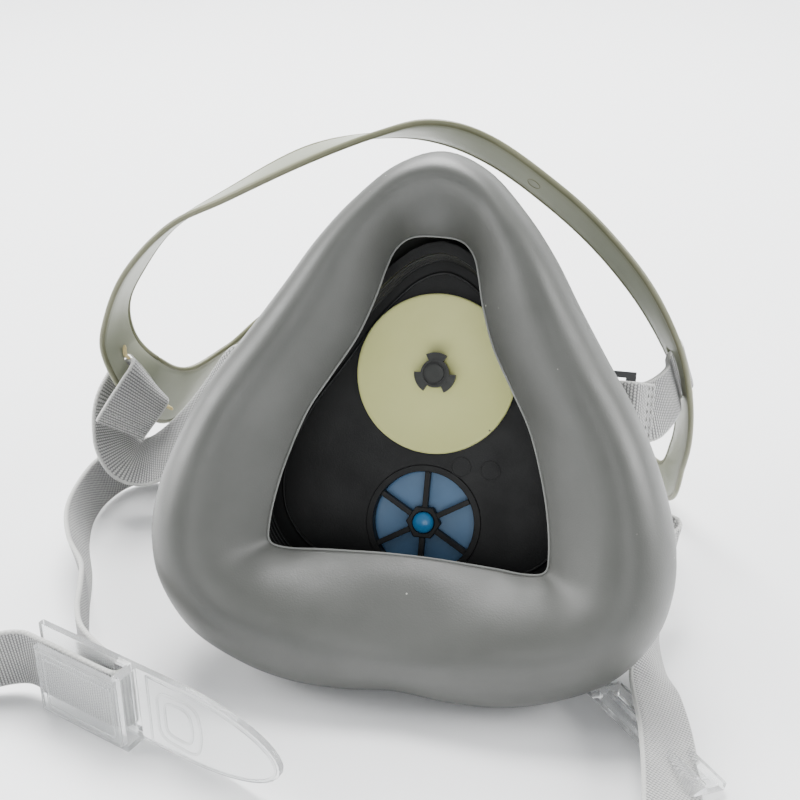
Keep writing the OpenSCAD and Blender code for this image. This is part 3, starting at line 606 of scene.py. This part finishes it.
def seal_profile(station):
    """The seal's skin at one station, from its lip, over the crest and back to the housing."""
    outer, inner = np.array(station[:2]), np.array(station[2:])
    rear = outer * HOUSE_SCALE * REAR_GROW
    crest = (NOSE_SET * (max(station[1], 0) / NOSE_Y) ** 2
             + CHIN_SET * (max(-station[1] - CHIN_Y, 0) / CHIN_REACH) ** 2)
    widest = crest + FLANK_DEPTH
    made = [(*(inner + (outer - inner) * f), crest + g * LIP_DEPTH) for f, g in FLAP]
    made += [(*(inner + (outer - inner) * f), crest + g * FLANK_DEPTH) for f, g in FLANK]
    made += [(*(outer + (rear - outer) * f), widest + (SEAL_REAR - widest) * g) for f, g in BACK]
    return smooth_line(made, PROFILE_STEPS)


# Soft swells and dents of the face side: x, y, spread across, spread up, depth
SEAL_RELIEF = (
    (0, -43, 11, 9, 2.0), (22, -43, 9, 9, -1.0), (-22, -43, 9, 9, -1.0),
    (0, 50.5, 10, 5, 2.2), (37, -12, 6, 16, 0.7), (-37, -12, 6, 16, 0.7))


def skin_frame(skin):
    """Directions round the opening's edge and out of the seal's skin."""
    along = np.roll(skin, -1, axis=0) - np.roll(skin, 1, axis=0)
    across = np.gradient(skin, axis=1)
    normal = np.cross(across, along)
    return across, normal / np.linalg.norm(normal, axis=2)[:, :, None]


def relief(skin):
    """How deep each point of the skin lies under the smooth form, on its face side only."""
    depth = np.zeros(skin.shape[:2])
    for x, y, wide, high, deep in SEAL_RELIEF:
        depth += deep * np.exp(-((skin[..., 0] - x) / wide) ** 2 - ((skin[..., 1] - y) / high) ** 2)
    face = np.clip((20 - skin[..., 2]) / 8, 0, 1)
    return depth * face


def make_seal():
    skin = np.array([seal_profile(s) for s in smooth_loop(SEAL_STATIONS, SEAL_STEPS)])
    stations, deep = skin.shape[:2]
    skin[..., 2] += relief(skin)
    across, normal = skin_frame(skin)
    wall = np.interp(np.arange(deep), [0, 3 * PROFILE_STEPS], [LIP_T, SEAL_T])
    lining = skin - wall[None, :, None] * normal
    points = []
    for i in range(stations):
        ring = list(skin[i])
        for end in (deep - 1, 0):
            outward = across[i][end] / np.linalg.norm(across[i][end]) * (1 if end else -1)
            start, finish = (skin[i][end], lining[i][end]) if end else (lining[i][0], skin[i][0])
            mid = (start + finish) / 2 + outward * wall[end] * 0.36
            lip = [start * 0.78 + finish * 0.22 + outward * wall[end] * 0.26, mid,
                   start * 0.22 + finish * 0.78 + outward * wall[end] * 0.26]
            if end:
                ring += lip + list(lining[i][::-1])
            else:
                ring += lip
        points += [in_mask(p) for p in ring]
    sides = len(points) // stations
    return add_mesh("seal_skin", points, ring_faces(stations, sides, True), ELASTOMER), skin


seal, seal_surface = make_seal()
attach(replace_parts(seal, "face_seal"), "mask")
# A thin bead along the lip that carries the painted highlight.
lip_line = [in_mask(p) for p in seal_surface[:, 0]]
lip_edge = beads("seal_lip_edge", [lip_line], 0.26 * MM, LIP_HIGHLIGHT, closed=True)
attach(lip_edge, "mask")


# ---- housing's inside ----
def house_outline(grow, z):
    """The housing's outline, grown by a factor, at one depth."""
    line = smooth_loop(SEAL_STATIONS, SEAL_STEPS)
    return [in_mask((s[0] * HOUSE_SCALE * grow, s[1] * HOUSE_SCALE * grow, z)) for s in line]


RIDGES = ((0.938, 28.5), (0.936, 31.0), (0.934, 33.5), (0.932, 36.0), (0.86, 37.9))
ridges = beads("housing_ridges", [house_outline(g, z) for g, z in RIDGES], 0.42 * MM, HOUSING_BLACK, True)
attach(ridges, "mask")

# ---- inhalation valve ----
INHALE_Y, EXHALE_Y = 13.6, -23.0
DISC_R, DISC_BORE, DISC_REAR, DISC_FRONT = 19.6, 3.2, 36.4, 37.34


def disc_shape(r, a, z):
    """The film's dimple at its middle and the slight wave of its rim, off its seat."""
    dimple = 0.16 * math.exp(-((r - DISC_BORE) / 2.4) ** 2)
    wave = 0.10 * (r / DISC_R) ** 3 * (1 + math.sin(2 * a + 0.6)) / 2
    return dimple * (z < DISC_FRONT - 0.3) - wave


def disc_outline():
    """Section of the film: its bore, the face toward the wearer, the rim and the seated face."""
    bore = [(DISC_BORE + 0.02, DISC_FRONT - 0.25), (DISC_BORE, DISC_REAR + 0.3)]
    span, steps = DISC_R - DISC_BORE, 24
    rear = [(DISC_BORE + 0.1 + (span - 0.4) * (k / steps) ** 1.1, DISC_REAR) for k in range(steps + 1)]
    rim = [(DISC_R - 0.08, DISC_REAR + 0.12), (DISC_R, DISC_REAR + 0.45),
           (DISC_R - 0.1, DISC_FRONT - 0.12)]
    front = [(DISC_R - 0.3 - (span - 0.5) * k / 8, DISC_FRONT) for k in range(9)]
    return bore + rear + rim + front


film = lathe("inhale_film", disc_outline(), INHALE_Y, DISC_FILM, 160, disc_shape)
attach(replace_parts(film, "inhale_disc"), "inhale_flap")

# ---- exhalation valve ----
VALVE_REAR, VALVE_FRONT, VALVE_R, STEM_R = 42.06, 42.9, 13.2, 2.6
DOME_REAR, DOME_TOP = 37.62, 36.42
SWELL_FROM, SWELL_LEN, SWELL_RISE = 3.6, 8.6, 0.10      # the membrane's soft swell between hub and rim


def membrane_outline():
    """Section of the membrane, from its stem out over the swelled face to the rim and back."""
    swell = [(SWELL_FROM + SWELL_LEN * k / 12, VALVE_REAR + SWELL_RISE * math.sin(math.pi * k / 12))
             for k in range(13)]
    rim = [(VALVE_R - 0.1, VALVE_REAR + 0.1), (VALVE_R, VALVE_REAR + 0.4),
           (VALVE_R - 0.15, VALVE_FRONT - 0.1)]
    front = [(12 - 9 * k / 6, VALVE_FRONT) for k in range(7)]
    return [(STEM_R + 0.05, VALVE_REAR)] + swell + rim + front


def dome_outline():
    """Section of the domed stem."""
    rise = DOME_REAR - DOME_TOP
    arc = [math.pi / 2 * k / 8 for k in range(9)]
    dome = [(STEM_R * math.sin(a), DOME_REAR - rise * math.cos(a)) for a in arc]
    foot = [(STEM_R, 39.0), (STEM_R, 41.2), (STEM_R + 0.7, 42.1), (STEM_R + 0.7, 42.6), (0, 42.6)]
    return dome + foot


membrane = lathe("exhale_membrane", membrane_outline(), EXHALE_Y, MEMBRANE_SHADED_BLUE, 128)
dome = lathe("exhale_dome", dome_outline(), EXHALE_Y, DOME_BLUE, 64)
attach(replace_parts(membrane, "exhale_valve"), "exhale_flap")
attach(dome, "exhale_flap")

# ---- filter stack ----
COLLAR_R, PORT_R, CART_Z = 19.0, 16.0, 51.8
SHELL_R, FILTER_R = 36.0, 34.35
gasket_corners = [(PORT_R + 0.25, 50.04), (17.6, 50.04), (17.9, 50.3), (COLLAR_R, 50.04),
                  (COLLAR_R, 51.76), (17.9, 51.5), (17.6, 51.76), (PORT_R + 0.25, 51.76)]
gasket = lathe("gasket_ring", rounded(gasket_corners, 0.3), INHALE_Y, GASKET_BLACK)
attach(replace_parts(gasket, "seat_gasket"), "mask")


def layer_profile(radius, back, front, rings):
    """Section of a solid disc, from its middle out over the rear face and back over the front."""
    rear = [(radius * k / rings, back) for k in range(rings)]
    rim = [(radius - 0.25, back + 0.02), (radius, (back + front) / 2), (radius - 0.25, front - 0.02)]
    return rear + rim + [(radius * k / rings, front) for k in reversed(range(rings))]


def fuzz(amount):
    """Small uneven dents over a disc's two faces, never past them."""
    def dent(r, a, z):
        n = (math.sin(5 * r / 7 + 3 * a) + math.sin(2.3 * r - 5 * a) + math.sin(9 * a + r)) / 3
        return amount * n * math.copysign(1, dent.middle - z) * 0.5 * (0 if r < 0.01 else 1)
    return dent


def filter_layer(name, node, body, radius, back, front, material, amount, rings=26):
    dents = fuzz(amount)
    dents.middle = (back + front) / 2
    made = lathe(name, layer_profile(radius, back + amount / 2, front - amount / 2, rings),
                 INHALE_Y, material, 120, dents)
    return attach(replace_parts(made, node), body)


BED_BACK, BED_FRONT, FLEECE_T = 55.2, 73.4, 1.2
PAD_BACK, PAD_FRONT, PAD_R = 78.0, 86.4, 35.0
filter_layer("fleece_inner", "inner_fleece", "cartridge",
             FILTER_R, BED_BACK - 0.1 - FLEECE_T, BED_BACK - 0.1, FLEECE, 0.16)
filter_layer("fleece_outer", "outer_fleece", "cartridge",
             FILTER_R, BED_FRONT + 0.1, BED_FRONT + 0.1 + FLEECE_T, FLEECE, 0.16)
filter_layer("carbon_grain_bed", "carbon_bed", "cartridge",
             FILTER_R, BED_BACK, BED_FRONT, CARBON, 0.5, 40)
pad = filter_layer("filter_pad", "prefilter_pad", "cap",
                   PAD_R, PAD_BACK, PAD_FRONT, PAD_FIBRE, 0.7)

CAP_R, CAP_FRONT = 37.7, 88.3


def rim_ribs(name, radius, back, front, count, width, material, body):
    """Upright grip ribs round a drum, each a rounded bar."""
    paths = []
    for i in range(count):
        a = 2 * math.pi * i / count
        x, y = radius * math.cos(a), INHALE_Y + radius * math.sin(a)
        paths.append([in_mask((x, y, back + (front - back) * k / 4)) for k in range(5)])
    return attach(beads(name, paths, width * MM, material), body)


rim_ribs("cap_grip_ribs", CAP_R - 0.25, CAP_FRONT - 12.6, CAP_FRONT - 1.6, 60, 0.62,
         CAP_BLACK, "cap")
rim_ribs("cartridge_grip_ribs", SHELL_R - 0.3, CART_Z + 2, CART_Z + 10.4, 48, 0.7,
         CARTRIDGE_GREY, "cartridge")


def drum_ring(radius, z, count=160):
    return [in_mask((radius * math.cos(2 * math.pi * i / count),
                     INHALE_Y + radius * math.sin(2 * math.pi * i / count), z)) for i in range(count)]


shell_beads = beads("cartridge_beads", [drum_ring(SHELL_R - 0.15, CART_Z + 1.0),
                                        drum_ring(SHELL_R - 0.15, CART_Z + 11.4)],
                    0.7 * MM, CARTRIDGE_GREY, closed=True)
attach(shell_beads, "cartridge")
cap_rings = beads("cap_rings", [drum_ring(r, CAP_FRONT) for r in (16.9, 27.0, 35.9)],
                  0.45 * MM, CAP_BLACK, closed=True)
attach(cap_rings, "cap")

# ---- head cradle ----
CRADLE = (
    (-87.5, 55, 33, -82.6, 65, 41.2), (-93.5, 55, 46, -88.5, 65, 47.5),
    (-91.7, 55, 57, -89.8, 65.5, 57), (-84.8, 55, 70.8, -85.6, 67, 66.5),
    (-71.8, 55, 84.4, -75.4, 67, 79.8), (-56.6, 55, 92.6, -60, 67, 90.4),
    (-36.4, 55, 103.2, -38.6, 67, 103), (-18.4, 55, 111.2, -20, 67, 107.6),
    (-4.9, 55, 115, -5.2, 66, 107.6), (9, 56, 111.6, 9, 65, 102.8),
    (25.9, 56, 100.8, 23.8, 65, 93), (38.1, 56, 90.4, 36, 65, 82.6),
    (49.6, 56, 77.2, 47, 65, 70.2), (58.2, 57, 61.5, 55.4, 67, 56.6),
    (62.4, 60, 47, 59.6, 72, 45.5), (64, 62, 34, 61.4, 75, 33.6),
    (63.6, 66, 22, 61.2, 78.5, 22.4), (62, 76, 6, 59, 86.5, 11),
    (53, 97, 1.5, 49.6, 95, 14), (35, 113, 0.8, 32.4, 107.5, 12),
    (10, 122, 1, 9, 115.6, 12), (-16, 121, 6, -14.5, 114.6, 17),
    (-38, 114.5, 22, -35.4, 107.5, 33), (-58, 102, 34, -54.2, 96.4, 45.6),
    (-73, 86, 27, -68, 84, 37.4), (-82, 68, 20, -77, 73, 34.4))
CRADLE_T, CRADLE_STEPS = 1.5, 9
# Each slot: middle, direction of its length, direction through the cradle, width
CRADLE_SLOTS = (
    ((-84, 60, 37.2), (0.56, 0.1, -0.82), (0.66, -0.62, 0.41), 2.8),
    ((59.8, 65.2, 51.4), (0.3, 0.3, -0.91), (-0.83, -0.28, -0.37), 3.6))
SLOT_LEN = STRAP_W + 2.2


def cradle_rings():
    rims = smooth_loop(CRADLE, CRADLE_STEPS)
    outer, inner = rims[:, :3], rims[:, 3:]
    middle = outer + inner
    along = np.roll(middle, -1, axis=0) - np.roll(middle, 1, axis=0)
    normal = np.cross(along, inner - outer)
    normal /= np.linalg.norm(normal, axis=1)[:, None]
    return outer, inner, normal


def make_cradle():
    outer, inner, normal = cradle_rings()
    half = CRADLE_T / 2
    points = []
    across_steps = (0.0, 0.03, 0.12, 0.35, 0.65, 0.88, 0.97, 1.0)
    for o, i, n in zip(outer, inner, normal):
        width = i - o
        thin = [0.35 if t in (0.0, 1.0) else (0.8 if t in (0.03, 0.97) else 1) for t in across_steps]
        face = [o + width * t + n * half * k for t, k in zip(across_steps, thin)]
        back = [o + width * t - n * half * k for t, k in zip(across_steps, thin)]
        points += [in_row(p) for p in face + back[::-1]]
    sides = 2 * len(across_steps)
    made = add_mesh("cradle_band", points, ring_faces(len(outer), sides, True), CRADLE_OLIVE)
    for at, along, through, width in CRADLE_SLOTS:
        cut_slot(made, at, along, through, width)
    made.data.shade_smooth()
    made.data.set_sharp_from_angle(angle=math.radians(42))
    return made


def slot_axes(along, through):
    z = Vector(through).normalized()
    y = z.cross(Vector(along)).normalized()
    return y.cross(z), y, z


def cut_slot(target, at, along, through, width):
    """Cuts a rounded slot through the target."""
    x, y, z = slot_axes(along, through)
    outline = rounded([(-SLOT_LEN / 2, -width / 2), (SLOT_LEN / 2, -width / 2),
                       (SLOT_LEN / 2, width / 2), (-SLOT_LEN / 2, width / 2)], width * 0.45, 5)
    centre = in_row(at)
    points = [centre + (x * u + y * v + z * d) * MM for d in (-6, 6) for u, v in outline]
    cutter = add_mesh("slot_cutter", points, ring_faces(2, len(outline), False), CRADLE_OLIVE)
    cut = target.modifiers.new("slot", "BOOLEAN")
    cut.operation, cut.solver, cut.object = "DIFFERENCE", "EXACT", cutter
    evaluated = target.evaluated_get(bpy.context.evaluated_depsgraph_get())
    cut_mesh = bpy.data.meshes.new_from_object(evaluated)
    target.modifiers.clear()
    target.data = cut_mesh
    bpy.data.objects.remove(cutter)


cradle = make_cradle()
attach(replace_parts(cradle, "head_cradle"), "cradle")
rim_out, rim_in, rim_normal = cradle_rings()
rim_edges = beads("cradle_rims", [[in_row(p) for p in rim_out], [in_row(p) for p in rim_in]],
                  0.82 * MM, CRADLE_EDGE, closed=True, sides=10)
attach(rim_edges, "cradle")


FLASH_TURNS = ((-1, 0.4), (1, -0.5))   # end of the slot and how far the curl leans across it
FLASH_R = 0.55
MARK_SHARES = (0.375, 0.81)            # where the ejector marks lie, as shares of the way round
MARK_R, MARK_BEAD_R = 1.7, 0.14


def slot_flash(name, at, along, through, reach):
    """A curl of moulding flash at each end of a slot."""
    x, y, z = slot_axes(along, through)
    centre = in_row(at)
    paths = []
    for end, lean in FLASH_TURNS:
        paths.append([
            centre + (x * end * (SLOT_LEN / 2 - 1.2 + 0.55 * k)
                      + y * (lean * k * 0.3 - 0.5 * math.sin(0.6 * k))
                      - z * (reach + 0.5 * math.sin(0.5 * k))) * MM
            for k in range(8)])
    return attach(beads(name, paths, FLASH_R * MM, FLASH_YELLOW), "cradle")


slot_flash("slot_flash_left", *CRADLE_SLOTS[0][:3], -0.8)
slot_flash("slot_flash_right", *CRADLE_SLOTS[1][:3], 0.8)


def ejector_marks():
    """Raised rings that the ejector pins left on the cradle's faces."""
    paths = []
    n = len(rim_out)
    for share in MARK_SHARES:
        i = int(share * n)
        o, inner, normal = (Vector(v) for v in (rim_out[i], rim_in[i], rim_normal[i]))
        mid, across = (o + inner) / 2, (inner - o).normalized()
        along = across.cross(normal)
        for face in (-1, 1):
            paths.append([in_row(mid + normal * face * (CRADLE_T / 2)
                                 + (across * math.cos(a) + along * math.sin(a)) * MARK_R)
                          for a in (2 * math.pi * k / 32 for k in range(32))])
    return beads("cradle_ejector_marks", paths, MARK_BEAD_R * MM, CRADLE_EDGE, closed=True, sides=6)


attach(ejector_marks(), "cradle")

# ---- hard parts kept from the CAD ----
# Each: node, material, slot and the width of its rounded edges
HARD_PARTS = (
    ("front_housing", HOUSING_BLACK, "black_plastic", 0.35),
    ("inhale_post", POST_GREY, "grey_rubber", 0.12),
    ("exhale_seat", HOUSING_BLACK, "black_plastic", 0.2),
    ("exhale_cover", COVER_GREY, "dark_plastic", 0.3),
    ("cartridge_shell", CARTRIDGE_GREY, "cartridge_plastic", 0.35),
    ("cartridge_lid", CARTRIDGE_GREY, "cartridge_plastic", 0.2),
    ("prefilter_cap", CAP_BLACK, "dark_plastic", 0.4),
    ("harness_frame", FRAME_BLACK, "black_plastic", 0.4),
    ("buckle_hook", CLEAR, "clear_plastic", 0.3),
    ("buckle_eye", CLEAR, "clear_plastic", 0.45))
WELD_GAP = 1e-5
SHARP_FROM = math.radians(38)
for node, material, slot_name, width in HARD_PARTS:
    part = CAD_NODES[node]
    part.data.materials.clear()
    part.data.materials.append(material)
    weld = part.modifiers.new("weld", "WELD")
    weld.merge_threshold = WELD_GAP
    bevel = part.modifiers.new("bevel", "BEVEL")
    bevel.width = width * MM
    bevel.segments = 3
    bevel.limit_method = "ANGLE"
    bevel.angle_limit = SHARP_FROM
    part.modifiers.new("normals", "WEIGHTED_NORMAL").keep_sharp = True


# ---- raised lines of the hook buckle, beside the CAD's own buckle ----
HOOK_AT, HOOK_TURN = (-78, -24.6, 0.1), math.radians(-21.3)
HOOK_H, HOOK_T, HOOK_CHANNEL = 20.0, 1.6, 3.2
TONGUE_LEN, TONGUE_NOSE = 66, 26
LINE_INSET = 0.9                       # from an edge to the raised line along it


def on_hook(along, out, up):
    """A place on the hook buckle: along it, out toward the viewer from its back, and up."""
    c, s = math.cos(HOOK_TURN), math.sin(HOOK_TURN)
    return in_row((HOOK_AT[0] + along * c + out * s, HOOK_AT[1] + along * s - out * c, HOOK_AT[2] + up))


def hook_outline(corners, radius, out):
    """A closed outline with rounded corners on one of the hook's faces."""
    return [on_hook(a, out, u) for a, u in rounded(corners, radius, 6)]


PLATE_FACE, TONGUE_FACE = 2 * HOOK_T + HOOK_CHANNEL, HOOK_T
plate_rims = [hook_outline([(a, b), (c, b), (c, d), (a, d)], 0.8, PLATE_FACE)
              for a, b, c, d in ((3.9, LINE_INSET, 27.2, HOOK_H - 2.9), (5.6, 2.4, 25.4, HOOK_H - 4.4))]
rim_lines = beads("buckle_plate_rims", plate_rims, 0.3 * MM, CLEAR, closed=True)
catch_lines = [hook_outline([(34, 3.4), (44.5, 2.6), (46, 9), (45, 16.6), (34, 16.2)], 3.2, TONGUE_FACE),
               hook_outline([(36, 5.4), (42.6, 5), (43.6, 9.2), (42.8, 14.6), (36, 14.2)], 2.4,
                            TONGUE_FACE)]
nose = [(TONGUE_LEN - TONGUE_NOSE + (TONGUE_NOSE - LINE_INSET) * math.cos(a),
         HOOK_H / 2 + (HOOK_H / 2 - LINE_INSET) * math.sin(a))
        for a in (math.radians(90 - 7.5 * k) for k in range(25))]
catch_lines.append([on_hook(a, TONGUE_FACE, u)
                    for a, u in [(31.6, LINE_INSET), (31.6, HOOK_H - LINE_INSET)] + nose])
tongue_lines = beads("buckle_tongue_rims", catch_lines, 0.32 * MM, CLEAR, closed=True)
for lines in (rim_lines, tongue_lines):
    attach(lines, "mask")


# ---- stage ----
def make_stage():
    """A floor that curves up into a pale backdrop."""
    side, depth, rise, bend = 3.0, 1.7, 2.4, 0.9
    line = [(-2.2, 0.0), (0.5, 0.0), (depth - bend, 0.0)]
    line += [(depth - bend + bend * math.sin(a), bend * (1 - math.cos(a)))
             for a in (math.pi / 2 * k / 16 for k in range(1, 17))]
    line.append((depth, rise))
    points = [(x, y, z - 0.0002) for x in (-side, side) for y, z in line]
    n = len(line)
    material, tree, shader = new_material("floor_white", 0.6, 0.3)
    tone = ramp(tree, noise(tree, 1.2, 2.0), [(0.3, (0.86, 0.865, 0.87)), (0.7, (0.88, 0.885, 0.89))])
    tree.links.new(tone, shader.inputs["Base Color"])
    floor = add_mesh("floor", points, [(i, i + 1, n + i + 1, n + i) for i in range(n - 1)], material)
    for polygon in floor.data.polygons:
        if polygon.normal.z < -0.1 or (abs(polygon.normal.z) < 0.1 and polygon.normal.y > 0):
            floor.data.flip_normals()
            break


def area_light(name, at, size, power, colour=(1, 1, 1), target=(0, 0, 0.05)):
    data = bpy.data.lights.new(name, "AREA")
    data.shape, data.size, data.energy, data.color = "SQUARE", size, power, colour
    lamp = bpy.data.objects.new(name, data)
    lamp.location = at
    lamp.rotation_euler = (Vector(target) - Vector(at)).to_track_quat("-Z", "Y").to_euler()
    scene.collection.objects.link(lamp)


make_stage()
area_light("overhead_softbox", (-0.15, 0.45, 1.0), 0.7, 36)
area_light("left_window", (-1.05, -0.1, 0.5), 0.7, 19)
area_light("right_window", (1.05, 0.0, 0.55), 0.6, 15)
area_light("front_fill", (0.15, -1.0, 0.42), 0.5, 2.6)
area_light("backdrop_wash", (0, 0.9, 1.3), 1.0, 25, target=(0, 1.7, 0.6))
world = bpy.data.worlds.new("studio")
scene.world = world
world.use_nodes = True
world.node_tree.nodes["Background"].inputs["Color"].default_value = (0.93, 0.96, 1.0, 1)
world.node_tree.nodes["Background"].inputs["Strength"].default_value = 0.55
